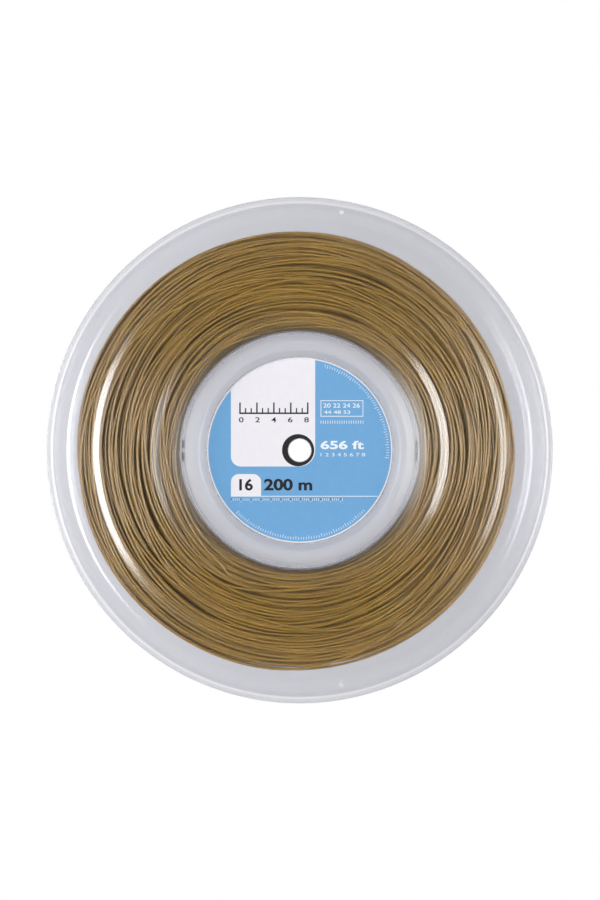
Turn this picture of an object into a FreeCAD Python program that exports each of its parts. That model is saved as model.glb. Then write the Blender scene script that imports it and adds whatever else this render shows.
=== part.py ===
import FreeCAD, Part
import math
import os

# Racket string reel: two clear moulded halves that peg together at the middle of the hub,
# a round label in the well of the front hub, and one long string wound between the flanges.
# Millimetres. The reel lies on its rear rim, its axis is Z, and the labelled front faces +Z.
# A half is drawn once, from the reel's middle plane outwards, and turned over for the rear.

# Reel
reel_diameter = 254.0
string_gap = 18.8
wall = 1.6
seat_gap = 0.3

# String
string_diameter = 1.3
turn_gap = 3.7
winding_diameter = 220.8
string_facets = 5

# Drum that carries the winding, and the tube round the spindle bore
drum_diameter = 118.4
drum_wall = 2.0
bore_diameter = 11.4
arbor_wall = 2.5

# Outer face of a flange, from the hub to the rim
shoulder_rise = 0.8
shoulder_diameter = 145.6
shoulder_step = 4.8
band_rise = 1.3
band_diameter = 204.8
band_step = 4.2
rim_rise = 1.9
rim_diameter = 233.0
rim_step = 1.1
bead_rise = 0.6
bead_width = 2.8
bead_step = 0.3

# Well in the hub, and the round ridge about it, which slopes down to the flange
well_diameter = 94.4
well_depth = 5.1
ridge_inner_diameter = 100.6
ridge_outer_diameter = 107.4
ridge_drop = 0.2
ridge_foot_diameter = 130.6

# Label
label_diameter = 93.2
label_hole_diameter = 11.8
label_thickness = 0.25

# Pegs, sockets and ribs inside the hub
peg_pairs = 1
peg_circle = 66.0
peg_diameter = 5.0
peg_length = 5.0
peg_clearance = 0.05
socket_wall = 1.8
socket_spare_depth = 1.0
rib_count = 6
rib_thickness = 1.4
rib_setback = 1.0
rib_reach = 88.0

# Where the two ends of the string go: a notch in the foot of the drum, and a hole in the rim
notch_clearance = 0.4
notch_count = 2
rim_hole_diameter = 2.4
rim_hole_angle = 80.0
rim_hole_inset = 5.6

# Sides of the winding: round ridges where the string turns back at a flange, drawn with flat facets,
# and a lower foot, as the first layers are wound narrower
side_ridges = 4
side_ridge_height = 0.9
side_foot_drop = 4.0
side_facets = 36

# Inner end of the string, inside the drum, and its outer end on the winding's front side
inner_end_bend = 4.0
inner_end_tail = 10.0
rise_sweep = 90.0
cross_angle = 270.0
cross_inset = 17.4
cross_sweep = 90.0
path_step = 90.0

# Worked out
reel_radius = reel_diameter / 2
drum_radius = drum_diameter / 2
bore_radius = bore_diameter / 2
inner_face = string_gap / 2
panel_face = inner_face + wall
shoulder_face = panel_face + shoulder_rise
band_face = panel_face + band_rise
band_inner_face = inner_face + band_rise
rim_face = panel_face + rim_rise
bead_face = rim_face + bead_rise
ridge_top = bead_face - ridge_drop
well_floor = ridge_top - well_depth + ridge_drop
web_inner_face = well_floor - wall
middle = bead_face

# Worked out for the winding: its front side stands back from the flange where the outer end crosses it
string_radius = string_diameter / 2
winding_radius = winding_diameter / 2
core_low = seat_gap - inner_face
core_high = inner_face - 2 * seat_gap - string_diameter
core_radius = winding_radius - string_diameter - seat_gap
turn_radius = winding_radius - string_radius
first_turn = core_low + string_radius
last_turn = core_high - string_radius
front_turn = core_high + seat_gap + string_radius
turns_that_fit = (last_turn - first_turn) / (string_diameter + turn_gap)
layer_sweep = path_step * math.floor(turns_that_fit * 360 / path_step)


def point(radius, height):
    """A point of a profile, in the plane through the axis."""
    return FreeCAD.Vector(radius, 0, height)


def revolved(corners):
    """The solid that a closed profile of straight lines sweeps about the reel's axis."""
    face = Part.Face(Part.makePolygon(corners + corners[:1]))
    return face.revolve(FreeCAD.Vector(0, 0, 0), FreeCAD.Vector(0, 0, 1), 360)


def ring(outer, inner, low, high):
    """A ring about the reel's axis between two heights."""
    return revolved([point(inner, low), point(outer, low), point(outer, high), point(inner, high)])


def post(diameter, low, high, angle, circle):
    """A round post parallel to the axis, standing on a circle about it."""
    turn = math.radians(angle)
    foot = FreeCAD.Vector(circle / 2 * math.cos(turn), circle / 2 * math.sin(turn), low)
    return Part.makeCylinder(diameter / 2, high - low, foot)


def half_shell():
    """Flange, hub ridge, label well, drum and arbor of one half, in one turned profile."""
    drum_inner = drum_radius - drum_wall
    ridge_inner = ridge_inner_diameter / 2
    ridge_outer = ridge_outer_diameter / 2
    bead_root = reel_radius - bead_width
    arbor_radius = bore_radius + arbor_wall
    return revolved([
        point(bore_radius, 0),
        point(bore_radius, well_floor),
        point(well_diameter / 2, well_floor),
        point(ridge_inner, ridge_top),
        point(ridge_outer, ridge_top),
        point(ridge_foot_diameter / 2, shoulder_face),
        point((shoulder_diameter - shoulder_step) / 2, shoulder_face),
        point((shoulder_diameter + shoulder_step) / 2, panel_face),
        point((band_diameter - band_step) / 2, panel_face),
        point((band_diameter + band_step) / 2, band_face),
        point((rim_diameter - rim_step) / 2, band_face),
        point((rim_diameter + rim_step) / 2, rim_face),
        point(bead_root, rim_face),
        point(bead_root + bead_step, bead_face),
        point(reel_radius, bead_face),
        point(reel_radius, band_inner_face),
        point((band_diameter + band_step) / 2, band_inner_face),
        point((band_diameter - band_step) / 2, inner_face),
        point(drum_radius, inner_face),
        point(drum_radius, 0),
        point(drum_inner, 0),
        point(drum_inner, shoulder_face - wall),
        point((ridge_inner + ridge_outer) / 2, ridge_top - wall),
        point(well_diameter / 2 + wall / 2, web_inner_face),
        point(arbor_radius, web_inner_face),
        point(arbor_radius, 0),
    ])


def ribs():
    """Radial ribs from the arbor outwards, under the label and short of the middle plane."""
    inner = bore_radius + arbor_wall / 2
    outer = rib_reach / 2
    made = []
    for step in range(rib_count):
        corner = FreeCAD.Vector(inner, -rib_thickness / 2, rib_setback)
        rib = Part.makeBox(outer - inner, rib_thickness, web_inner_face + wall / 2 - rib_setback, corner)
        rib.rotate(FreeCAD.Vector(0, 0, 0), FreeCAD.Vector(0, 0, 1), 360.0 * (step + 0.5) / rib_count)
        made.append(rib)
    return made


def pegs_and_sockets(shell):
    """Pegs that stand from the web across the middle plane, by turns with sockets for the other half's."""
    spacing = 360.0 / (2 * peg_pairs)
    root = web_inner_face + wall / 2
    socket = peg_diameter + 2 * peg_clearance
    for step in range(peg_pairs):
        peg_angle = spacing / 2 + 2 * spacing * step
        shell = shell.fuse(post(peg_diameter, -peg_length, root, peg_angle, peg_circle))
        shell = shell.fuse(post(socket + 2 * socket_wall, 0, root, -peg_angle, peg_circle))
        shell = shell.cut(post(socket, 0, peg_length + socket_spare_depth, -peg_angle, peg_circle))
    return shell


def string_openings():
    """Notches in the foot of the drum for the string's inner end, and the hole in the rim for its outer end."""
    openings = []
    notch = string_radius + notch_clearance
    for step in range(notch_count):
        corner = FreeCAD.Vector(drum_radius - 2 * drum_wall, -notch, 0)
        box = Part.makeBox(3 * drum_wall, 2 * notch, notch, corner)
        box.rotate(FreeCAD.Vector(0, 0, 0), FreeCAD.Vector(0, 0, 1), 360.0 * step / notch_count)
        openings.append(box)
    rim_circle = reel_diameter - 2 * rim_hole_inset
    openings.append(post(rim_hole_diameter, 0, 2 * rim_face, rim_hole_angle, rim_circle))
    return openings


def half():
    """One moulded half, drawn from the middle plane at height 0 outwards to +Z."""
    shell = half_shell()
    for rib in ribs():
        shell = shell.fuse(rib)
    shell = pegs_and_sockets(shell)
    for opening in string_openings():
        shell = shell.cut(opening)
    return shell.removeSplitter().Solids[0]


def label():
    """The round label that lies on the floor of the well."""
    return ring(label_diameter / 2, label_hole_diameter / 2, well_floor, well_floor + label_thickness)


def as_front(shape):
    """A shape drawn from the middle plane, put where the reel's middle plane is."""
    return shape.translated(FreeCAD.Vector(0, 0, middle))


def as_rear(shape):
    """The same, turned over about X, so that it faces down."""
    turned = shape.copy()
    turned.rotate(FreeCAD.Vector(0, 0, 0), FreeCAD.Vector(1, 0, 0), 180)
    return as_front(turned)


def side_heights(crests):
    """The corners of one side of the winding, from the drum outwards: its foot, then crests with valleys between."""
    inner = (drum_radius + seat_gap) / math.cos(math.pi / side_facets)
    step = (core_radius - inner) / (2 * side_ridges)
    corners = [(inner, crests[0] - side_foot_drop)]
    for number, crest in enumerate(crests):
        following = crests[min(number + 1, side_ridges - 1)]
        corners.append((inner + (2 * number + 1) * step, crest))
        corners.append((inner + (2 * number + 2) * step, min(crest, following) - side_ridge_height))
    return corners


def faceted_ring(corners):
    """The solid that a closed profile of radii and heights makes in flat facets round the axis."""
    faces = []
    for step in range(side_facets):
        for (radius, height), (next_radius, next_height) in zip(corners, corners[1:] + corners[:1]):
            quad = [facet_corner(radius, height, step), facet_corner(radius, height, step + 1),
                    facet_corner(next_radius, next_height, step + 1), facet_corner(next_radius, next_height, step)]
            faces.append(Part.Face(Part.makePolygon(quad + quad[:1])))
    solid = Part.Solid(Part.Shell(faces))
    return solid if solid.Volume > 0 else solid.reversed()


def facet_corner(radius, height, step):
    """A corner of the faceted ring, at a step round the axis."""
    turn = 2 * math.pi * (step % side_facets) / side_facets
    return FreeCAD.Vector(radius * math.cos(turn), radius * math.sin(turn), height)


def winding_core():
    """The inner layers of the string, as one ring on the drum with ridged sides."""
    flange_crest = inner_face - seat_gap
    crossed = turn_radius - cross_inset - string_diameter
    step = (core_radius - drum_radius) / side_ridges
    outer_crests = [drum_radius + (number + 1) * step > crossed for number in range(side_ridges)]
    front = side_heights([core_high if lies_out else flange_crest for lies_out in outer_crests])
    rear = side_heights([flange_crest] * side_ridges)
    return faceted_ring([(radius, -height) for radius, height in rear] + front[::-1])


def smooth(share):
    """0 to 1 with no slope at either end."""
    share = min(max(share, 0.0), 1.0)
    return share * share * (3 - 2 * share)


def strand(angle):
    """The centre of the outer layer's string at an angle in degrees from its first turn.
    It climbs the winding turn by turn, rises past its front edge, and spirals in across its front side."""
    risen = angle - layer_sweep
    crossed = risen - rise_sweep
    height = first_turn + (last_turn - first_turn) * min(angle / layer_sweep, 1.0)
    height += (front_turn - last_turn) * smooth(risen / rise_sweep)
    radius = turn_radius - cross_inset * smooth(crossed / cross_sweep)
    turn = math.radians(cross_angle + crossed)
    return FreeCAD.Vector(radius * math.cos(turn), radius * math.sin(turn), height)


def strand_way(angle):
    """The unit direction of the string at an angle."""
    nudge = 0.01
    return (strand(angle + nudge) - strand(angle - nudge)).normalize()


def half_arc(start, corner, end):
    """The arc from start to end that touches both legs of the corner."""
    chord_middle = (start + end) / 2
    lean = (corner - start).getAngle(end - start)
    crown = chord_middle + (corner - chord_middle) * (math.tan(lean / 2) / math.tan(lean))
    return Part.Arc(start, crown, end).toShape()


def biarc(start, start_way, end, end_way):
    """Two arcs that leave start along start_way and reach end along end_way."""
    span = end - start
    ways = start_way + end_way
    bend = 2 * (1 - start_way.dot(end_way))
    along = span.dot(ways)
    leg = (math.sqrt(along * along + bend * span.dot(span)) - along) / bend
    first_corner = start + start_way * leg
    last_corner = end - end_way * leg
    joint = (first_corner + last_corner) / 2
    return [half_arc(start, first_corner, joint), half_arc(joint, last_corner, end)]


def swept_string(edges):
    """A string of the real diameter along a path, with flat sides and flat ends."""
    spine = Part.Wire(edges)
    start = edges[0].valueAt(edges[0].FirstParameter)
    way = edges[0].tangentAt(edges[0].FirstParameter)
    side = way.cross(FreeCAD.Vector(0, 0, 1)).normalize()
    up = side.cross(way)
    corners = []
    for step in range(string_facets):
        turn = 2 * math.pi * (step + 0.5) / string_facets
        corners.append(start + side * (string_radius * math.cos(turn)) + up * (string_radius * math.sin(turn)))
    profile = Part.makePolygon(corners + corners[:1])
    return Part.Solid(spine.makePipeShell([profile], True, False))


def outer_path():
    """The way of the outer layer and the string's outer end, in arcs of an eighth of a turn."""
    edges = []
    low = 0.0
    while low < layer_sweep + rise_sweep + cross_sweep - path_step / 2:
        high = low + path_step
        edges += biarc(strand(low), strand_way(low), strand(high), strand_way(high))
        low = high
    return edges


def least_turn_gap(edges):
    """The least gap of a path's string to itself, measured on points half a turn or more apart."""
    points_per_edge = 12
    places = [p for edge in edges for p in edge.discretize(points_per_edge)[:-1]]
    half_turn = int(4 * (points_per_edge - 1))
    least = min((b - a).Length for n, a in enumerate(places) for b in places[n + half_turn:])
    return least - string_diameter


def inner_end_path():
    """The way of the string's inner end: in through a notch of the drum, then along the inside of the drum."""
    mouth = FreeCAD.Vector(drum_radius, 0, 0)
    corner = FreeCAD.Vector(drum_radius - drum_wall - inner_end_bend, 0, 0)
    bend_start = corner + FreeCAD.Vector(inner_end_bend, 0, 0)
    bend_end = corner + FreeCAD.Vector(0, inner_end_bend, 0)
    tail = bend_end + FreeCAD.Vector(0, inner_end_tail, 0)
    return [
        Part.LineSegment(mouth, bend_start).toShape(),
        half_arc(bend_start, corner, bend_end),
        Part.LineSegment(bend_end, tail).toShape(),
    ]


def main():
    os.makedirs("parts", exist_ok=True)
    half_part = half()
    outer_edges = outer_path()
    parts = {
        "front_half": as_front(half_part),
        "rear_half": as_rear(half_part),
        "front_label": as_front(label()),
        "winding_core": as_front(winding_core()),
        "outer_turns": as_front(swept_string(outer_edges)),
        "string_inner_end": as_front(swept_string(inner_end_path())),
    }
    for name, shape in parts.items():
        shape.exportStep("parts/" + name + ".step")
        print(name, "valid", shape.isValid(), "solids", len(shape.Solids), "volume", round(shape.Volume, 1))
    print("outer layer: turns", layer_sweep / 360, "least gap to itself", round(least_turn_gap(outer_edges), 3))


main()
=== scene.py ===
import math

import bpy
import numpy as np
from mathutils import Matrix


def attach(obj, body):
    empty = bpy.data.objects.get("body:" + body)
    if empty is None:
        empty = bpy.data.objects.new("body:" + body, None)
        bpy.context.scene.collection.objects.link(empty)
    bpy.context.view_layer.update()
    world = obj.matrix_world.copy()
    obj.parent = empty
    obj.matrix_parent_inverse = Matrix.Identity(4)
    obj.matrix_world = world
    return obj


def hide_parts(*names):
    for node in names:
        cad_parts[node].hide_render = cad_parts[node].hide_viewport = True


# Looks of a racket string reel: two clear moulded halves, a printed label in the hub, and the wound string.
# Sizes are in millimetres until a piece is placed; mm turns them to metres.
# The reel lies on its rear rim, its axis is Z, and the labelled front faces +Z.
mm = 0.001

# How finely round shapes are made, how near two places count as one, and how far a cutter stands past its cut
lathe_steps = 224
corner_segments = 7
print_corner_segments = 10
post_sides = 48
disc_sides = 160
smooth_angle = 40.0
same_place = 0.01
seam_weld = 0.005
cut_over = 1.0

# Reel
reel_diameter = 254.0
string_gap = 18.8
wall = 1.6

# Drum, and the tube round the spindle bore
drum_diameter = 118.4
drum_wall = 2.0
drum_fillet = 1.2
bore_diameter = 11.4
arbor_wall = 2.5

# Outer face of a flange, from the hub to the rim
shoulder_rise = 0.8
shoulder_diameter = 145.6
shoulder_step = 4.8
band_rise = 1.3
band_diameter = 204.8
band_step = 4.2
step_rounding = 0.7
rim_rise = 1.9
rim_diameter = 233.0
rim_step = 1.9
bead_rise = 0.6
bead_width = 3.0
bead_step = 0.8

# Well in the hub, and the round ridge about it
well_diameter = 94.4
well_depth = 5.1
ridge_inner_diameter = 100.6
ridge_outer_diameter = 107.4
ridge_drop = 0.2
hub_foot_diameter = 129.2

# Pegs, sockets and ribs inside the hub
peg_circle = 66.0
peg_diameter = 5.0
peg_length = 5.0
peg_clearance = 0.05
socket_wall = 1.8
socket_room = 1.0
rib_count = 6
rib_thickness = 1.4
rib_setback = 1.0
rib_reach = 88.0

# Ways through for the string: notches in the foot of the drum, and a hole in the rim
notch_height = 1.05
notch_angles = (0, 180)
rim_hole_diameter = 2.4
rim_hole_angle = 80.0
rim_hole_inset = 5.6

# Label, and the fields printed on it; places are from the reel's axis, across and up
label_diameter = 93.2
label_border = 0.6
label_hole_diameter = 11.8
label_thickness = 0.25
print_hole_diameter = 12.0
print_lift = 0.03
ring_diameter = 16.2
ring_shift = -0.8
panel_left = -34.6
panel_right = 7.8
panel_bottom = -8.2
panel_corner = 5.0
tab_right = -19.4
tab_top = -12.0
tab_bottom = -23.0
tab_corner = 4.0
rule_right = 39.2
rule_width = 0.35
box_left = 10.5
box_right = 32.0
box_top = 25.1
box_bottom = 16.9

# Figures on the label: text, left, right, bottom, top, and how much heavier than the typeface
black_figures = [
    ("0    2    4    6    8", -30.6, 4.6, 14.0, 16.6, 0.01),
    ("16", -30.4, -23.6, -20.3, -14.4, 0.03),
    ("200 m", -17.9, 6.3, -20.3, -14.4, 0.03)]
white_figures = [
    ("20 22 24 26", 11.9, 30.3, 21.4, 23.6, 0.01),
    ("44 48 53", 12.2, 25.4, 18.3, 20.0, 0.01),
    ("656 ft", box_left, 32.3, 0.5, 4.8, 0.03),
    ("1 2 3 4 5 6 7 8", box_left, 33.0, -3.1, -1.4, 0.0)]

# Scales on the label: a line's left, right, bottom and top, and rows of ticks: first tick, count, spacing
scale_line = (-30.4, 4.4, 18.2, 19.0)
black_ticks = [
    ((-30.4, -29.8, 18.5, 21.2), 13, 2.85),
    ((-30.4, -29.7, 18.5, 24.0), 5, 8.525)]
white_ticks = [
    ((box_left, box_left + 0.3, 13.3, 14.9), 19, 1.18),
    ((panel_left, panel_left + 0.25, -25.4, -24.2), 57, 1.0),
    ((panel_left, panel_left + 0.25, -26.1, -24.2), 12, 5.0)]

# Ticks along the label's edge: the arcs that they fill and their spacing in degrees, how far out they end,
# their size, and how often one is longer
edge_tick_arcs = [(-5, 75), (225, 320)]
edge_tick_spacing = 1.7
edge_tick_end = 45.0
edge_tick_length = 1.3
edge_tick_width = 0.26
long_tick_length = 1.9
long_tick_every = 5

# String and winding; the lean is how much further out the winding stands on the left, and less on the right
string_diameter = 1.3
string_rounding = 2
string_pieces = 4
winding_diameter = 220.8
winding_lean = 2.2
turns = 375
stations = 96

# How the winder leads the string: passes from flange to flange, how long the shortest and the longest are
# beside the mean, and how far short of a flange they may stop, as a share of the way
random_start = 11
passes = 22
pass_lengths = (0.7, 1.3)
pass_shortfall = 0.15

# Slow random waves in the string's way: their reach, and the shortest and the longest in turns
wander_waves = 24
wave_spread = (0.9, 1.1)
radius_wander = (0.15, 1.0, 4.0)
across_wander = (0.15, 0.5, 3.0)

# Bulges that the turns share: the height of each wave of them, how many go round the reel, and how their
# place drifts, as a random wave with its reach in radians
bulge_height = 0.9
bulges_round = range(1, 6)
bulge_drift = (2.5, 6.0, 30.0)

# Room between the string and the flanges, and at the drum and the outside, as led and as settled
side_clearance = 0.12
led_inner_clearance = 0.4
led_outer_clearance = 0.5
settled_inner_clearance = 0.05
settled_outer_play = 0.8

# The first layers are narrower: how far out from the drum, and by how much at the drum
narrow_start = 3.8
narrow_depth = 8.0

# How the turns settle on each other: the rounds, how much of each push is taken, and how near in count the
# turns are that may touch
rounds = 30
push_share = 1.6
touching_turns = 30
least_distance = 1e-6

# How stiff the string is: the stations that share a push, those that share a bend, and how much all rounds
# together ease it
stiffness = 21
softening = 9
easing = 8.0

# Where a pass turns back, the string slips down the side: its least and most sweep in degrees, and depth
dip_sweep = (80, 150)
dip_depth = (3, 8)
passes_without_dip = 2

# Stretches laid over the others on the front, with the room about them: from which turn, and their way as
# angles, radii and depths behind the flange
laid_clearance = 1.2
laid_stretches = [
    (96, [(240, 72, 2.0), (262, 69, 0.0), (300, 67.5, 0.0), (335, 69, 0.0), (360, 72, 2.0)]),
    (188, [(20, 86, 2.0), (45, 82, 0.0), (80, 79, 0.0), (110, 83, 0.0), (130, 85, 2.0)]),
    (214, [(250, 86.2, 2.0), (259, 86.8, 1.0), (267, 88.6, 0.2), (274, 90.8, 0.0), (281, 92.9, 0.0),
           (288, 94.1, 0.0), (295, 94.3, 0.0), (303, 93.6, 0.0), (310, 92.5, 0.2), (317, 91.3, 1.0),
           (330, 89.2, 2.0)]),
    (318, [(300, 102, 2.0), (325, 97, 0.0), (350, 95.5, 0.0), (375, 99, 0.0), (400, 103, 2.0)])]
outer_end = (372, [
    (215, 109.6, 0.6), (240, 110.2, 0.2), (262, 110.8, 0.0), (273, 109.8, 0.0), (281, 108.0, 0.0),
    (289, 105.8, 0.0), (298, 103.1, 0.0), (305, 100.9, 0.0), (312, 98.6, 0.0), (319, 96.8, 0.0),
    (326, 95.2, 0.0), (333, 94.0, 0.0), (347, 91.9, 0.0), (362, 90.2, 0.4), (400, 88.4, 1.6),
    (440, 87.2, 1.6), (467, 87.0, 0.6), (475, 89.0, 0.0), (482, 90.7, 0.0), (489, 92.8, 0.0),
    (500, 96.2, 0.0), (509, 99.5, 0.0), (517, 102.6, 0.0), (525, 105.3, 0.0), (534, 107.2, 0.0),
    (545, 108.6, 0.0), (560, 109.9, 0.6), (600, 110.4, 3.0), (720, 110.4, 6.0)])

# The string's inner end, inside the drum
inner_end_bend = 4.0
inner_end_tail = 10.0
inner_end_points = 9

# Clear plastic, as stops of distance from the axis and value: roughness, share of the thicker plastic's tint,
# milkiness, and the light that passes into the shadow
plastic_roughness = [
    (46, 0.05), (47.5, 0.26), (66, 0.22), (70, 0.17), (76, 0.12), (80, 0.07), (96, 0.07), (99, 0.14),
    (113, 0.15), (118, 0.2)]
plastic_thickness = [(46, 0.0), (47.5, 1.0), (58.5, 1.0), (59.5, 0.0), (123.5, 0.0), (124.5, 0.5)]
plastic_milk = [(46, 0.002), (47.5, 0.34), (57.6, 0.34), (58.8, 0.002), (123.6, 0.01), (124.4, 0.06)]
# The light passing through is lower in the hub's thick milky plastic, and held low from 58.8 to 61.2 mm, just
# outside the drum, as a painted shadow on the first turns
passing_light_and_painted_shadow = [(46, 0.9), (47.5, 0.65), (58.2, 0.65), (58.8, 0.2), (61.2, 0.2), (62.2, 0.9)]
plastic_haze = "#e0e1e6"

# Patterns: the mould's ring marks, drawn coarser than they are so that they show; the string's patches of
# colour and how deep light goes into it; the label's mottle and paper grain
mark_spacing = 1.1111
mark_length = 40.0
mark_depth = 0.05
patch_size = 25.0
light_depth = 0.6
mottle_size = 2.8571
grain_size = 0.25
grain_depth = 0.02

# Colours that vary over a surface, each between two
plastic_colours = ("#e7e7eb", "#dfdfe4")
string_colours = ("#98750c", "#7f5f06")
paper_colours = ("#eceaee", "#e2e0e5")
blue_colours = ("#6fa9d9", "#67a1d1")
pale_colours = ("#efedf2", "#e8e6ec")
white_colours = ("#eef3f8", "#e4ebf2")
black_colours = ("#0b0b0f", "#101014")

# Photograph, in pixels, and camera
photo_width = 600
photo_centre = (300.0, 450.0)
reel_pixels = 506.4
reel_centre = (299.7, 450.2)
camera_distance = 1.5
sensor_width = 24.0

# Studio, in metres and watts; glow is how bright the floor looks through the plastic, left and right, a
# painted fall-off of light from left to right
floor_size = 60.0
floor_drop = 0.0002
floor_white = 0.85
glow_left = 1.14
glow_right = 0.86
sky_light = 0.05
softboxes = [
    ("key", (0.46, 0.04, 0.93), 0.24, 0.45, 5.0),
    ("fill", (-0.58, 0.0, 0.93), 0.42, 0.4, 3.1),
    ("left_side", (-0.85, 0.0, 0.34), 0.45, 0.9, 5.8),
    ("right_side", (0.92, 0.0, 0.36), 0.45, 0.9, 4.9)]

# Worked out
reel_radius = reel_diameter / 2
drum_radius = drum_diameter / 2
bore_radius = bore_diameter / 2
well_radius = well_diameter / 2
winding_radius = winding_diameter / 2
string_radius = string_diameter / 2
inner_face = string_gap / 2
panel_face = inner_face + wall
shoulder_face = panel_face + shoulder_rise
band_face = panel_face + band_rise
band_inner_face = inner_face + band_rise
rim_inner_face = inner_face + rim_rise
rim_face = panel_face + rim_rise
bead_face = rim_face + bead_rise
ridge_top = bead_face - ridge_drop
well_floor = ridge_top - well_depth + ridge_drop
web_inner_face = well_floor - wall
field_diameter = label_diameter - 2 * label_border
side_room = inner_face - string_radius - side_clearance
middle = bead_face

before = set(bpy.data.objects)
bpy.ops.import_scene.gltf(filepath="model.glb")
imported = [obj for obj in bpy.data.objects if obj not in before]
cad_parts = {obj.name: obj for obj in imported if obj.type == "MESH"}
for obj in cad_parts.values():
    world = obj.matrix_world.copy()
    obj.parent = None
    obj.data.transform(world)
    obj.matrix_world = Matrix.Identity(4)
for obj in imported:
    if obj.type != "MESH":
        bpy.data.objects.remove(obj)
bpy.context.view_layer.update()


# Tools for pieces

def deselect():
    bpy.ops.object.select_all(action="DESELECT")


def pick(piece):
    """Select one piece alone and make it the active one."""
    deselect()
    piece.select_set(True)
    bpy.context.view_layer.objects.active = piece


def named(name):
    """The object just made, under its name."""
    piece = bpy.context.object
    piece.name = name
    piece.data.name = name
    return piece


def settle(piece):
    """A piece's place goes into its mesh."""
    pick(piece)
    bpy.ops.object.transform_apply(location=True, rotation=True, scale=True)


def applied(piece):
    """Every modifier of a piece is applied."""
    bpy.context.view_layer.objects.active = piece
    for modifier in list(piece.modifiers):
        bpy.ops.object.modifier_apply(modifier=modifier.name)
    return piece


def select_near(piece, radius, height):
    """In edit mode, select only the profile's vertex at a radius and height."""
    bpy.ops.mesh.select_all(action="DESELECT")
    bpy.ops.object.mode_set(mode="OBJECT")
    for vertex in piece.data.vertices:
        off = math.hypot(vertex.co.x - radius * mm, vertex.co.z - height * mm)
        vertex.select = off < same_place * mm
    bpy.ops.object.mode_set(mode="EDIT")


def outline(name, corners):
    """A closed outline in the XZ plane; each corner is a radius, a height and the reach of its rounding."""
    deselect()
    bpy.ops.mesh.primitive_plane_add(size=mm, location=(0, 0, 0))
    piece = named(name)
    bpy.ops.object.mode_set(mode="EDIT")
    bpy.ops.mesh.merge(type="CENTER")
    here = (0.0, 0.0)
    for step, (radius, height, _) in enumerate(corners):
        move = ((radius - here[0]) * mm, 0, (height - here[1]) * mm)
        if step == 0:
            bpy.ops.transform.translate(value=move)
        else:
            bpy.ops.mesh.extrude_region_move(TRANSFORM_OT_translate={"value": move})
        here = (radius, height)
    bpy.ops.mesh.select_all(action="SELECT")
    bpy.ops.mesh.edge_face_add()
    for radius, height, reach in corners:
        select_near(piece, radius, height)
        bpy.ops.mesh.bevel(offset=reach * mm, segments=corner_segments, affect="VERTICES")
    bpy.ops.mesh.select_all(action="SELECT")
    bpy.ops.mesh.delete(type="ONLY_FACE")
    bpy.ops.object.mode_set(mode="OBJECT")
    return piece


def spun(piece):
    """An outline, spun about the reel's axis to a closed shell."""
    bpy.context.view_layer.objects.active = piece
    bpy.ops.object.mode_set(mode="EDIT")
    bpy.ops.mesh.select_all(action="SELECT")
    bpy.ops.mesh.spin(steps=lathe_steps, angle=math.tau, center=(0, 0, 0), axis=(0, 0, 1))
    bpy.ops.mesh.select_all(action="SELECT")
    bpy.ops.mesh.remove_doubles(threshold=seam_weld * mm)
    bpy.ops.mesh.normals_make_consistent(inside=False)
    bpy.ops.object.mode_set(mode="OBJECT")
    return piece


def post(name, diameter, low, high, angle=0, circle=0):
    """A round post parallel to the axis: on it, or at an angle on a circle about it."""
    turn = math.radians(angle)
    deselect()
    bpy.ops.mesh.primitive_cylinder_add(
        vertices=post_sides, radius=diameter / 2 * mm, depth=(high - low) * mm,
        location=(math.cos(turn) * circle / 2 * mm, math.sin(turn) * circle / 2 * mm, (low + high) / 2 * mm))
    return named(name)


def slab(name, left, right, bottom, top, low, high):
    """A box between two places on each axis."""
    deselect()
    middles = ((left + right) / 2 * mm, (bottom + top) / 2 * mm, (low + high) / 2 * mm)
    bpy.ops.mesh.primitive_cube_add(size=mm, location=middles)
    piece = named(name)
    piece.scale = (right - left, top - bottom, high - low)
    settle(piece)
    return piece


def turned(piece, angle):
    """A piece turned about the reel's axis."""
    piece.rotation_euler = (0, 0, math.radians(angle))
    settle(piece)
    return piece


def join_solid(piece, other, operation):
    """Fuse another solid with a piece, cut it from the piece, or keep what they share, and drop the other."""
    modifier = piece.modifiers.new("solid", "BOOLEAN")
    modifier.operation = operation
    modifier.object = other
    modifier.solver = "MANIFOLD"
    applied(piece)
    bpy.data.objects.remove(other)


# Moulded halves

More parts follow.
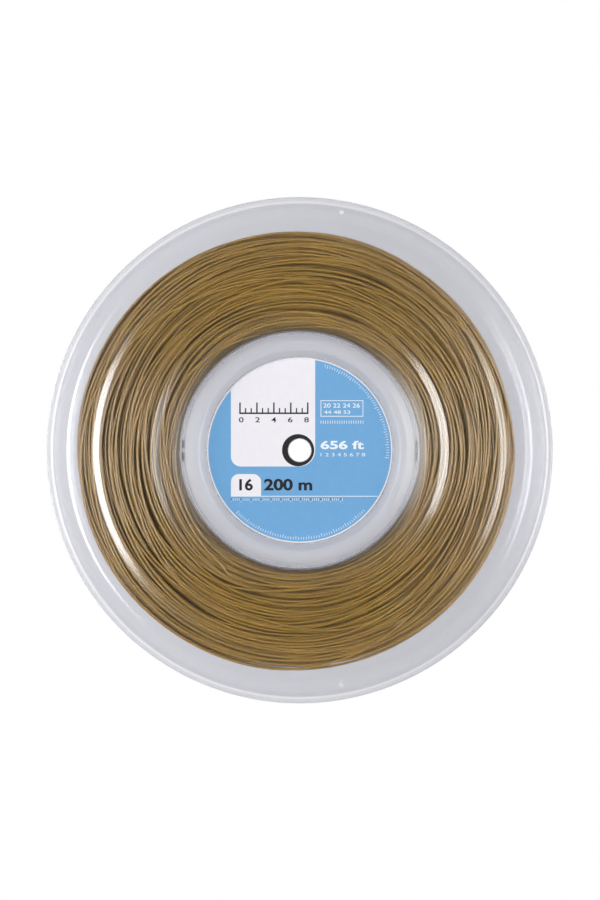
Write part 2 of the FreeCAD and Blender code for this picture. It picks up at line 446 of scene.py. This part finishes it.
def half_outline():
    """The turned profile of one half, from the middle plane outwards, with the mould's roundings."""
    ridge_inner = ridge_inner_diameter / 2
    ridge_outer = ridge_outer_diameter / 2
    ridge_middle = (ridge_inner + ridge_outer) / 2
    drum_inner = drum_radius - drum_wall
    shoulder = shoulder_diameter / 2
    band = band_diameter / 2
    rim = rim_diameter / 2
    bead_root = reel_radius - bead_width
    arbor_radius = bore_radius + arbor_wall
    return outline("half", [
        (bore_radius, 0, 0.3),
        (bore_radius, well_floor, 0.3),
        (well_radius, well_floor, 0.5),
        (ridge_inner, ridge_top, 0.8),
        (ridge_outer, ridge_top, 0.8),
        (hub_foot_diameter / 2, shoulder_face, 1.5),
        (shoulder - shoulder_step / 2, shoulder_face, step_rounding),
        (shoulder + shoulder_step / 2, panel_face, step_rounding),
        (band - band_step / 2, panel_face, step_rounding),
        (band + band_step / 2, band_face, step_rounding),
        (rim - rim_step / 2, band_face, 0.6),
        (rim + rim_step / 2, rim_face, 0.6),
        (bead_root, rim_face, 0.3),
        (bead_root + bead_step, bead_face, 0.3),
        (reel_radius, bead_face, 0.7),
        (reel_radius, rim_inner_face, 0.6),
        (rim + rim_step / 2, rim_inner_face, 0.6),
        (rim - rim_step / 2, band_inner_face, 0.6),
        (band + band_step / 2, band_inner_face, step_rounding),
        (band - band_step / 2, inner_face, step_rounding),
        (drum_radius, inner_face, drum_fillet),
        (drum_radius, 0, 0.2),
        (drum_inner, 0, 0.2),
        (drum_inner, shoulder_face - wall, 0.6),
        (ridge_middle, ridge_top - wall, 0.8),
        (well_radius + wall / 2, web_inner_face, 0.6),
        (arbor_radius, web_inner_face, 0.8),
        (arbor_radius, 0, 0.2),
    ])


def rib(angle):
    """A radial rib from the arbor outwards under the web."""
    inner = bore_radius + arbor_wall / 2
    side = rib_thickness / 2
    top = web_inner_face + wall / 2
    return turned(slab("rib", inner, rib_reach / 2, -side, side, rib_setback, top), angle)


def notch(angle):
    """The notch that lets the string through the foot of the drum."""
    inside = drum_radius - 2 * drum_wall
    outside = drum_radius + drum_wall
    return turned(slab("notch", inside, outside, -notch_height, notch_height, -cut_over, notch_height), angle)


def moulded_half(name):
    """One half: the turned shell with its ribs, peg, socket, string notches and string hole."""
    piece = spun(half_outline())
    piece.name = name
    root = web_inner_face + wall / 2
    socket = peg_diameter + 2 * socket_wall
    socket_hole = peg_diameter + 2 * peg_clearance
    socket_end = peg_length + socket_room
    rim_circle = reel_diameter - 2 * rim_hole_inset
    for step in range(rib_count):
        join_solid(piece, rib(360.0 * (step + 0.5) / rib_count), "UNION")
    join_solid(piece, post("peg", peg_diameter, -peg_length, root, 90, peg_circle), "UNION")
    join_solid(piece, post("socket", socket, 0, root, -90, peg_circle), "UNION")
    join_solid(piece, post("socket_hole", socket_hole, -cut_over, socket_end, -90, peg_circle), "DIFFERENCE")
    for angle in notch_angles:
        join_solid(piece, notch(angle), "DIFFERENCE")
    rim_hole = post("rim_hole", rim_hole_diameter, 0, 2 * rim_face, rim_hole_angle, rim_circle)
    join_solid(piece, rim_hole, "DIFFERENCE")
    return piece


def place_half(piece, face_down):
    """Stand a half on the reel's middle plane, facing up, or turned over about X to face down."""
    if face_down:
        piece.rotation_euler = (math.pi, 0, 0)
        settle(piece)
    piece.location = (0, 0, middle * mm)
    settle(piece)
    bpy.ops.object.shade_smooth_by_angle(angle=math.radians(smooth_angle))


# Winding

def softened(line):
    """A line along the string with its corners rounded, and its ends as they were."""
    window = np.hanning(softening)
    ends = np.pad(line, softening // 2, mode="edge")
    return np.convolve(ends, window / window.sum(), mode="valid")


def wander(rng, steps, reach, shortest, longest):
    """A smooth random line along the string: waves some turns long, added up to a set reach."""
    along = np.arange(steps) / stations
    line = np.zeros(steps)
    for length in np.geomspace(shortest, longest, wander_waves):
        line += np.sin(2 * np.pi * (along / length * rng.uniform(*wave_spread) + rng.random()))
    return line * reach / math.sqrt(wander_waves / 2)


def led(rng, steps):
    """The way the winder leads the string from flange to flange, climbing evenly; some passes stop short.
    Gives its height from 0 to 1, its place across from -1 to 1, and the steps where it turns back."""
    lengths = rng.uniform(*pass_lengths, passes)
    ends = np.concatenate([[0], np.cumsum(lengths)]) / lengths.sum() * steps
    spots = np.arange(steps)
    count = np.interp(spots, ends, np.arange(passes + 1))
    reach = 1 - pass_shortfall * rng.random(passes + 1) ** 2
    across = np.interp(spots, ends, np.where(np.arange(passes + 1) % 2, -reach, reach))
    return count / passes, across, ends[1:-1].astype(int)


def swell(rng, steps):
    """How far the turns bulge outwards together, one lying on the next, in waves that drift slowly round."""
    angle = 2 * np.pi * np.arange(steps) / stations
    waves = [np.sin(count * angle + wander(rng, steps, *bulge_drift)) for count in bulges_round]
    return bulge_height * np.sum(waves, axis=0)


def flange_limit(radius):
    """How far from the middle plane the string's centre may lie; the first layers are wound narrower."""
    foot = np.clip((drum_radius + narrow_start + string_radius - radius) / narrow_start, 0, 1)
    return side_room - narrow_depth * foot * foot


def lay_over(radius, across, pinned, turn, way):
    """Hold a stretch of the string on a way of angles, radii and depths behind the front flange."""
    angles, radii, depths = zip(*way)
    first = round((turn + angles[0] / 360) * stations)
    last = min(round((turn + angles[-1] / 360) * stations), radius.size - 1)
    spots = np.arange(first, last + 1)
    angle = (spots / stations - turn) * 360
    height = np.interp(angle, angles, radii)
    depth = np.interp(angle, angles, depths)
    radius.reshape(-1)[spots] = softened(height)
    across.reshape(-1)[spots] = flange_limit(height) - softened(depth)
    pinned.reshape(-1)[spots] = True


def dip(radius, across, pinned, middle_spot, sweep, depth):
    """Hold a stretch that slips down the winding's side at a flange, over the turns below, and comes back."""
    count = int(sweep / 360 * stations)
    spots = middle_spot - count // 2 + np.arange(count)
    share = np.linspace(0, 1, count)
    line = radius.reshape(-1)
    way = line[spots[0]] * (1 - share) + line[spots[-1]] * share - depth * np.sin(np.pi * share) ** 2
    side = np.sign(across.reshape(-1)[middle_spot])
    line[spots] = way
    across.reshape(-1)[spots] = side * flange_limit(way)
    pinned.reshape(-1)[spots] = True


def push_from_pinned(radius, across, pinned, out, side):
    """Add the push on free turns that lie under the stretches laid over them, away from the flange."""
    room = string_diameter + laid_clearance
    for turn, station in zip(*np.nonzero(pinned)):
        off = radius[:, station] - radius[turn, station]
        aside = across[:, station] - across[turn, station] - laid_clearance * np.sign(across[turn, station])
        apart = np.sqrt(off * off + aside * aside) + least_distance
        push = np.where((apart < room) & ~pinned[:, station], room / apart - 1, 0)
        out[:, station] += off * push
        side[:, station] += aside * push


def push_apart(radius, across):
    """The push on turns that overlap at a station, outwards and across."""
    out = np.zeros_like(radius)
    side = np.zeros_like(across)
    for skip in range(1, touching_turns):
        off = radius[skip:] - radius[:-skip]
        aside = across[skip:] - across[:-skip]
        apart = np.sqrt(off * off + aside * aside) + least_distance
        push = np.where(apart < string_diameter, 0.5 * (string_diameter / apart - 1), 0)
        out[skip:] += off * push
        out[:-skip] -= off * push
        side[skip:] += aside * push
        side[:-skip] -= aside * push
    return out, side


def stiff(push):
    """A push shared along the string, as a stiff string shares it."""
    window = np.hanning(stiffness + 2)
    return np.convolve(push.reshape(-1), window / window.sum(), mode="same").reshape(push.shape)


def eased(place, pinned):
    """Free turns with their sharp bends eased a little, as a stiff string eases them."""
    line = place.reshape(-1)
    return np.where(pinned, place, (line + easing / rounds * (softened(line) - line)).reshape(place.shape))


def relaxed(radius, across, pinned):
    """Overlaps pushed out, round by round, between the drum, the flanges and the winding's outside."""
    low = drum_radius + string_radius + settled_inner_clearance
    high = winding_radius - string_radius + settled_outer_play
    for _ in range(rounds):
        out, side = push_apart(radius, across)
        push_from_pinned(radius, across, pinned, out, side)
        radius = np.where(pinned, radius, radius + push_share * stiff(out))
        across = np.where(pinned, across, across + push_share * stiff(side))
        radius = np.clip(radius, low, high)
        limit = flange_limit(radius)
        across = np.clip(across, -limit, limit)
        radius = eased(radius, pinned)
        across = eased(across, pinned)
    return radius, across


def led_string(rng):
    """Radius and place across of every station as the string is led, and which stations are held there."""
    steps = turns * stations
    first = drum_radius + string_radius + led_inner_clearance
    last = winding_radius - string_radius - led_outer_clearance
    height, place, turns_back = led(rng, steps)
    radius = first + (last - first) * height + swell(rng, steps) + wander(rng, steps, *radius_wander)
    across = side_room * place + wander(rng, steps, *across_wander)
    radius = np.clip(radius, first, last + led_outer_clearance).reshape(turns, stations)
    across = np.clip(across, -side_room, side_room).reshape(turns, stations)
    pinned = np.zeros((turns, stations), bool)
    for spot in turns_back[passes_without_dip:-passes_without_dip]:
        dip(radius, across, pinned, spot, rng.uniform(*dip_sweep), rng.uniform(*dip_depth))
    for turn, way in laid_stretches + [outer_end]:
        lay_over(radius, across, pinned, turn, way)
    return radius, across, pinned


def wound_string():
    """The string's centre line, turn by turn from the drum outwards, in millimetres."""
    radius, across = relaxed(*led_string(np.random.default_rng(random_start)))
    angle = 2 * np.pi * np.arange(turns * stations) / stations
    lean = 1 + winding_lean / (winding_radius - drum_radius) * np.cos(angle - np.pi)
    radius = drum_radius + (radius.reshape(-1) - drum_radius) * lean
    return np.stack([radius * np.cos(angle), radius * np.sin(angle), across.reshape(-1) + middle], axis=1)


def inner_end():
    """The string's inner end: in through a notch of the drum, round a bend and along inside the drum."""
    inside = drum_radius - drum_wall
    angles = np.radians(np.linspace(-90, -180, inner_end_points))
    bend = [(inside + inner_end_bend * math.cos(t), inner_end_bend * (1 + math.sin(t))) for t in angles]
    tail = (inside - inner_end_bend, inner_end_bend + inner_end_tail)
    return np.array([(x, y, middle) for x, y in [(drum_radius + string_radius, 0.0)] + bend + [tail]])


def string_piece(name, points):
    """A stretch of string along its points."""
    curve = bpy.data.curves.new(name, "CURVE")
    curve.dimensions = "3D"
    curve.bevel_depth = string_radius * mm
    curve.bevel_resolution = string_rounding
    curve.use_fill_caps = True
    spline = curve.splines.new("POLY")
    spline.points.add(len(points) - 1)
    places = np.concatenate([points * mm, np.ones((len(points), 1))], axis=1)
    spline.points.foreach_set("co", places.astype(np.float32).reshape(-1))
    piece = bpy.data.objects.new(name, curve)
    bpy.context.collection.objects.link(piece)
    pick(piece)
    bpy.ops.object.convert(target="MESH")
    bpy.ops.object.shade_smooth()
    return bpy.context.object


# Label

def flat_disc(name, diameter, hole, height, thickness):
    """A thin flat ring with its edges closed."""
    deselect()
    bpy.ops.mesh.primitive_circle_add(
        vertices=disc_sides, radius=diameter / 2 * mm, location=(0, 0, height * mm))
    piece = named(name)
    bpy.ops.object.mode_set(mode="EDIT")
    bpy.ops.mesh.extrude_region_move()
    bpy.ops.transform.resize(value=(hole / diameter, hole / diameter, 1))
    bpy.ops.mesh.select_all(action="SELECT")
    bpy.ops.mesh.extrude_region_move(TRANSFORM_OT_translate={"value": (0, 0, thickness * mm)})
    bpy.ops.mesh.select_all(action="SELECT")
    bpy.ops.mesh.normals_make_consistent(inside=False)
    bpy.ops.object.mode_set(mode="OBJECT")
    settle(piece)
    return piece


def rounded_corner(piece, across, up, reach):
    """Round the upright edge that stands at a place."""
    mesh = piece.data
    near = [math.hypot(v.co.x - across * mm, v.co.y - up * mm) < same_place * mm for v in mesh.vertices]
    for edge in mesh.edges:
        edge.select = near[edge.vertices[0]] and near[edge.vertices[1]]
    for vertex in mesh.vertices:
        vertex.select = near[vertex.index]
    for face in mesh.polygons:
        face.select = False
    bpy.context.view_layer.objects.active = piece
    bpy.ops.object.mode_set(mode="EDIT")
    bpy.ops.mesh.select_mode(type="EDGE")
    bpy.ops.mesh.bevel(offset=reach * mm, segments=print_corner_segments, affect="EDGES")
    bpy.ops.mesh.select_mode(type="VERT")
    bpy.ops.object.mode_set(mode="OBJECT")


def joined(name, pieces):
    """Several pieces as one."""
    deselect()
    for piece in pieces:
        piece.select_set(True)
    bpy.context.view_layer.objects.active = pieces[0]
    bpy.ops.object.join()
    return named(name)


def tick_row(tick, count, spacing, low, high):
    """A row of equal ticks, from the first one to the right."""
    piece = slab("ticks", *tick, low, high)
    row = piece.modifiers.new("row", "ARRAY")
    row.count = count
    row.use_relative_offset = False
    row.use_constant_offset = True
    row.constant_offset_displace = (spacing * mm, 0, 0)
    return applied(piece)


def edge_ticks(low, high):
    """Fine ticks along the label's edge, some of them longer."""
    ticks = []
    side = edge_tick_width / 2
    for first, last in edge_tick_arcs:
        for step in range(int((last - first) / edge_tick_spacing)):
            length = edge_tick_length if step % long_tick_every else long_tick_length
            tick = slab("tick", edge_tick_end - length, edge_tick_end, -side, side, low, high)
            ticks.append(turned(tick, first + edge_tick_spacing * step))
    return ticks


def figures(text, left, right, bottom, top, weight, low, high):
    """Plain printed figures, made one unit thick and then stretched to fill their place on the label."""
    deselect()
    bpy.ops.object.text_add(location=(0, 0, 0))
    writing = bpy.context.object.data
    writing.body = text
    writing.offset = weight
    writing.extrude = 0.5
    bpy.ops.object.convert(target="MESH")
    piece = named("figures")
    corners = [v.co for v in piece.data.vertices]
    start = [min(c[axis] for c in corners) for axis in (0, 1)]
    size = [max(c[axis] for c in corners) - start[axis] for axis in (0, 1)]
    wide = (right - left) / size[0]
    tall = (top - bottom) / size[1]
    piece.scale = (wide * mm, tall * mm, (high - low) * mm)
    piece.location = ((left - start[0] * wide) * mm, (bottom - start[1] * tall) * mm, (low + high) / 2 * mm)
    settle(piece)
    return piece


def cut_hole(piece, low, high):
    """Cut the place of the label's hole from a print."""
    join_solid(piece, post("hole", print_hole_diameter, low - cut_over, high + cut_over), "DIFFERENCE")


def pale_print(low, high):
    """The pale panel with its round corner about the ring, and the tab below it."""
    panel = slab("panel", panel_left, panel_right, panel_bottom, label_diameter, low, high)
    rounded_corner(panel, panel_left, panel_bottom, panel_corner)
    rounded_corner(panel, panel_right, panel_bottom, ring_diameter / 2)
    join_solid(panel, post("field", field_diameter, low - cut_over, high + cut_over), "INTERSECT")
    cut_hole(panel, low, high)
    tab = slab("tab", panel_left, tab_right, tab_bottom, tab_top, low, high)
    rounded_corner(tab, panel_left, tab_top, tab_corner)
    rounded_corner(tab, tab_right, tab_top, tab_corner)
    return joined("label_pale_print", [panel, tab])


def black_print(low, high):
    """The ring about the hole, a plain measuring scale, and the figures of gauge and length."""
    ring = post("ring", ring_diameter, low, high)
    ring.location.x = ring_shift * mm
    settle(ring)
    cut_hole(ring, low, high)
    parts = [ring, slab("line", *scale_line, low, high)]
    parts += [tick_row(*row, low, high) for row in black_ticks]
    parts += [figures(*entry, low, high) for entry in black_figures]
    return joined("label_black_print", parts)


def white_print(low, high):
    """The rule, the small framed table of figures, and the scales of fine ticks."""
    rule = slab("rule", panel_left, rule_right, tab_bottom - rule_width, tab_bottom, low, high)
    table = slab("table", box_left, box_right, box_bottom, box_top, low, high)
    inside = slab("inside", box_left + rule_width, box_right - rule_width, box_bottom + rule_width,
                  box_top - rule_width, low - cut_over, high + cut_over)
    join_solid(table, inside, "DIFFERENCE")
    parts = [rule, table]
    parts += [figures(*entry, low, high) for entry in white_figures]
    parts += [tick_row(*row, low, high) for row in white_ticks]
    return joined("label_white_print", parts + edge_ticks(low, high))


# Materials

def linear(hex_colour):
    """An sRGB hex colour as the linear values that a shader reads."""
    parts = [int(hex_colour[n:n + 2], 16) / 255 for n in (1, 3, 5)]
    return tuple(p / 12.92 if p <= 0.04045 else ((p + 0.055) / 1.055) ** 2.4 for p in parts) + (1.0,)


def add_node(tree, kind, settings=None, inputs=None, links=None):
    """One node, with its settings, its socket values, and the sockets that feed it."""
    node = tree.nodes.new(kind)
    for key, value in (settings or {}).items():
        setattr(node, key, value)
    for key, value in (inputs or {}).items():
        node.inputs[key].default_value = value
    for key, source in (links or {}).items():
        tree.links.new(source, node.inputs[key])
    return node


def new_material(name):
    """An empty node material and its tree."""
    material = bpy.data.materials.new(name)
    material.use_nodes = True
    material.node_tree.nodes.clear()
    return material, material.node_tree


def axis_distance(tree, place):
    """How far a place is from the reel's axis, in metres."""
    flat = add_node(tree, "ShaderNodeVectorMath", settings={"operation": "MULTIPLY"},
                    inputs={1: (1, 1, 0)}, links={0: place.outputs["Object"]})
    radius = add_node(tree, "ShaderNodeVectorMath", settings={"operation": "LENGTH"},
                      links={0: flat.outputs[0]})
    return radius.outputs["Value"]


def by_radius(tree, stops):
    """A value that changes with the distance from the reel's axis, between stops of distance and value."""
    place = add_node(tree, "ShaderNodeTexCoord")
    share = add_node(tree, "ShaderNodeMath", settings={"operation": "DIVIDE"},
                     inputs={1: reel_radius * mm}, links={0: axis_distance(tree, place)})
    ramp = add_node(tree, "ShaderNodeValToRGB", links={"Fac": share.outputs[0]})
    marks = ramp.color_ramp.elements
    for number, (at, value) in enumerate(stops):
        mark = marks[number] if number < 2 else marks.new(at / reel_radius)
        mark.position = at / reel_radius
        mark.color = (value, value, value, 1)
    return ramp.outputs["Color"]


def lathe_marks(tree):
    """Fine rings left in the plastic by the turned mould: noise that changes fast away from the axis."""
    place = add_node(tree, "ShaderNodeTexCoord")
    across = add_node(tree, "ShaderNodeMath", settings={"operation": "MULTIPLY"},
                      inputs={1: 1 / (mark_spacing * mm)}, links={0: axis_distance(tree, place)})
    spread = add_node(tree, "ShaderNodeVectorMath", settings={"operation": "SCALE"},
                      inputs={"Scale": 1 / (mark_length * mm)}, links={0: place.outputs["Object"]})
    shift = add_node(tree, "ShaderNodeCombineXYZ", links={"X": across.outputs[0]})
    where = add_node(tree, "ShaderNodeVectorMath", settings={"operation": "ADD"},
                     links={0: spread.outputs[0], 1: shift.outputs[0]})
    return add_node(tree, "ShaderNodeTexNoise", inputs={"Scale": 1.0, "Detail": 3.0},
                    links={"Vector": where.outputs[0]}).outputs["Fac"]


def clear_polystyrene():
    """Clear crystal polystyrene, injection moulded: glossy and faintly grey, with a milky, less smooth hub.
    Lamps shine through it, dimmed, and far less in a ring just outside the drum, a painted shadow on the
    first turns."""
    material, tree = new_material("clear_polystyrene")
    relief = add_node(tree, "ShaderNodeBump", inputs={"Strength": 0.03, "Distance": mark_depth * mm},
                      links={"Height": lathe_marks(tree)})
    tint = add_node(tree, "ShaderNodeMix", settings={"data_type": "RGBA"},
                    inputs={6: linear(plastic_colours[0]), 7: linear(plastic_colours[1])},
                    links={0: by_radius(tree, plastic_thickness)})
    rough = by_radius(tree, plastic_roughness)
    body = add_node(tree, "ShaderNodeBsdfPrincipled", inputs={"IOR": 1.52, "Transmission Weight": 1.0},
                    links={"Base Color": tint.outputs[2], "Roughness": rough, "Normal": relief.outputs[0]})
    haze = add_node(tree, "ShaderNodeBsdfDiffuse", inputs={"Color": linear(plastic_haze)},
                    links={"Normal": relief.outputs[0]})
    seen = add_node(tree, "ShaderNodeMixShader",
                    links={0: by_radius(tree, plastic_milk), 1: body.outputs[0], 2: haze.outputs[0]})
    # Shadow rays pass through dimmed by radius; the low ring just outside the drum is a painted shadow
    passing = add_node(tree, "ShaderNodeBsdfTransparent", links={"Color": by_radius(tree, passing_light_and_painted_shadow)})
    path = add_node(tree, "ShaderNodeLightPath")
    mixed = add_node(tree, "ShaderNodeMixShader",
                     links={0: path.outputs["Is Shadow Ray"], 1: seen.outputs[0], 2: passing.outputs[0]})
    add_node(tree, "ShaderNodeOutputMaterial", links={"Surface": mixed.outputs[0]})
    return material


def monofilament():
    """Extruded polyester monofilament, gold-brown: smooth and glossy, its colour a little uneven along it."""
    material, tree = new_material("gold_monofilament")
    place = add_node(tree, "ShaderNodeTexCoord")
    patches = add_node(tree, "ShaderNodeTexNoise", inputs={"Scale": 1 / (patch_size * mm), "Detail": 2.0},
                       links={"Vector": place.outputs["Object"]})
    shade = add_node(tree, "ShaderNodeMix", settings={"data_type": "RGBA"},
                     inputs={6: linear(string_colours[0]), 7: linear(string_colours[1])},
                     links={0: patches.outputs["Fac"]})
    body = add_node(tree, "ShaderNodeBsdfPrincipled", inputs={
        "Roughness": 0.34, "IOR": 1.6, "Specular IOR Level": 0.95, "Subsurface Weight": 0.4,
        "Subsurface Radius": (1.0, 0.8, 0.4), "Subsurface Scale": light_depth * mm},
        links={"Base Color": shade.outputs[2]})
    add_node(tree, "ShaderNodeOutputMaterial", links={"Surface": body.outputs[0]})
    return material


def label_print(name, colours):
    """Label stock under a thin laminate: one printed colour, slightly mottled, with a fine paper grain."""
    material, tree = new_material(name)
    place = add_node(tree, "ShaderNodeTexCoord")
    mottle = add_node(tree, "ShaderNodeTexNoise", inputs={"Scale": 1 / (mottle_size * mm), "Detail": 3.0},
                      links={"Vector": place.outputs["Object"]})
    shade = add_node(tree, "ShaderNodeMix", settings={"data_type": "RGBA"},
                     inputs={6: linear(colours[0]), 7: linear(colours[1])}, links={0: mottle.outputs["Fac"]})
    grain = add_node(tree, "ShaderNodeTexNoise", inputs={"Scale": 1 / (grain_size * mm), "Detail": 2.0},
                     links={"Vector": place.outputs["Object"]})
    relief = add_node(tree, "ShaderNodeBump", inputs={"Strength": 0.15, "Distance": grain_depth * mm},
                      links={"Height": grain.outputs["Fac"]})
    body = add_node(tree, "ShaderNodeBsdfPrincipled", inputs={"Roughness": 0.38, "IOR": 1.5},
                    links={"Base Color": shade.outputs[2], "Normal": relief.outputs[0]})
    add_node(tree, "ShaderNodeOutputMaterial", links={"Surface": body.outputs[0]})
    return material


def studio_white():
    """Matt white studio floor. The camera and reflections see it as plain white, and through the plastic it
    shows a painted fall-off of light, a little brighter on the left and a little darker on the right."""
    material, tree = new_material("studio_white")
    paint = add_node(tree, "ShaderNodeBsdfDiffuse", inputs={"Color": (*[floor_white] * 3, 1)})
    path = add_node(tree, "ShaderNodeLightPath")
    place = add_node(tree, "ShaderNodeTexCoord")
    split = add_node(tree, "ShaderNodeSeparateXYZ", links={0: place.outputs["Object"]})
    # Painted fall-off of light: seen through the plastic, the floor glows brighter on the left than on the
    # right
    painted_light_falloff = add_node(tree, "ShaderNodeMapRange", links={0: split.outputs["X"]},
                       inputs={1: -reel_radius * mm, 2: reel_radius * mm, 3: glow_left, 4: glow_right})
    level = add_node(tree, "ShaderNodeMix", inputs={2: 1.0},
                     links={0: path.outputs["Is Transmission Ray"], 3: painted_light_falloff.outputs[0]})
    glow = add_node(tree, "ShaderNodeEmission", inputs={"Color": (1, 1, 1, 1)},
                    links={"Strength": level.outputs[0]})
    direct = add_node(tree, "ShaderNodeMath", settings={"operation": "MAXIMUM"},
                      links={0: path.outputs["Is Camera Ray"], 1: path.outputs["Is Transmission Ray"]})
    seen = add_node(tree, "ShaderNodeMath", settings={"operation": "MAXIMUM"},
                    links={0: direct.outputs[0], 1: path.outputs["Is Glossy Ray"]})
    mixed = add_node(tree, "ShaderNodeMixShader",
                     links={0: seen.outputs[0], 1: paint.outputs[0], 2: glow.outputs[0]})
    add_node(tree, "ShaderNodeOutputMaterial", links={"Surface": mixed.outputs[0]})
    return material


def coat(piece, material):
    """Give a piece one material."""
    piece.data.materials.clear()
    piece.data.materials.append(material)


# Studio

def studio_camera():
    """Straight down the reel's axis, framed as the photograph is."""
    width = reel_diameter * mm / reel_pixels * photo_width
    per_pixel = width / photo_width
    bpy.ops.object.camera_add(location=(0, 0, 2 * bead_face * mm + camera_distance), rotation=(0, 0, 0))
    camera = bpy.context.object
    camera.data.sensor_fit = "HORIZONTAL"
    camera.data.sensor_width = sensor_width
    camera.data.lens = sensor_width * camera_distance / width
    camera.location.x = (photo_centre[0] - reel_centre[0]) * per_pixel
    camera.location.y = (reel_centre[1] - photo_centre[1]) * per_pixel
    bpy.context.scene.camera = camera


def softbox(name, place, size_x, size_y, power):
    """A rectangular softbox aimed at the middle of the floor under the reel."""
    data = bpy.data.lights.new(name, "AREA")
    data.shape = "RECTANGLE"
    data.size = size_x
    data.size_y = size_y
    data.energy = power
    lamp = bpy.data.objects.new(name, data)
    bpy.context.collection.objects.link(lamp)
    lamp.location = place
    tilt = math.atan2(math.hypot(place[0], place[1]), place[2])
    lamp.rotation_euler = (0, tilt, math.atan2(place[1], place[0]))


def studio():
    """The floor, the softboxes, and a dim sky that the camera sees as white."""
    deselect()
    bpy.ops.mesh.primitive_plane_add(size=floor_size, location=(0, 0, -floor_drop))
    floor = named("studio_floor")
    coat(floor, studio_white())
    for lamp in softboxes:
        softbox(*lamp)
    world = bpy.data.worlds.new("studio")
    bpy.context.scene.world = world
    world.use_nodes = True
    path = add_node(world.node_tree, "ShaderNodeLightPath")
    level = add_node(world.node_tree, "ShaderNodeMix", inputs={2: sky_light, 3: 1.0},
                     links={0: path.outputs["Is Camera Ray"]})
    background = world.node_tree.nodes["Background"]
    background.inputs["Color"].default_value = (1, 1, 1, 1)
    world.node_tree.links.new(level.outputs[0], background.inputs["Strength"])
    bpy.context.scene.view_settings.view_transform = "Standard"


# Put together

def placed(piece, material, slot, *nodes):
    """A finished piece with its material, with the CAD nodes that it stands for hidden; the slot is not used.
    """
    coat(piece, material)
    if nodes:
        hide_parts(*nodes)
    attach(piece, "root")


def place_mouldings():
    """The two halves of the reel, back to back."""
    plastic = clear_polystyrene()
    halves = [("front_moulding", "front_half", False), ("rear_moulding", "rear_half", True)]
    for name, node, face_down in halves:
        piece = moulded_half(name)
        place_half(piece, face_down)
        placed(piece, plastic, "clear_plastic", node)


def place_string():
    """The wound string in a few long pieces that meet end to end, and its inner end."""
    filament = monofilament()
    line = wound_string()
    cuts = np.linspace(0, len(line) - 1, string_pieces + 1).astype(int)
    for number, (low, high) in enumerate(zip(cuts, cuts[1:]), 1):
        piece = string_piece(f"wound_string_{number}", line[low:high + 1])
        placed(piece, filament, "string", "winding_core", "outer_turns")
    placed(string_piece("string_tail", inner_end()), filament, "string", "string_inner_end")


def place_label():
    """The label on the floor of the well, and its prints, each a thin layer on the one below."""
    low = middle + well_floor
    stock = flat_disc("label_stock", label_diameter, label_hole_diameter, low, label_thickness)
    placed(stock, label_print("label_paper", paper_colours), "label_print", "front_label")
    low += label_thickness
    field = flat_disc("label_field", field_diameter, print_hole_diameter, low, print_lift)
    placed(field, label_print("label_blue", blue_colours), "label_print")
    low += print_lift
    placed(pale_print(low, low + print_lift), label_print("label_pale", pale_colours), "label_print")
    placed(white_print(low, low + print_lift), label_print("label_white", white_colours), "label_print")
    low += print_lift
    placed(black_print(low, low + print_lift), label_print("label_black", black_colours), "label_print")


def main():
    place_mouldings()
    place_string()
    place_label()
    studio_camera()
    studio()


main()
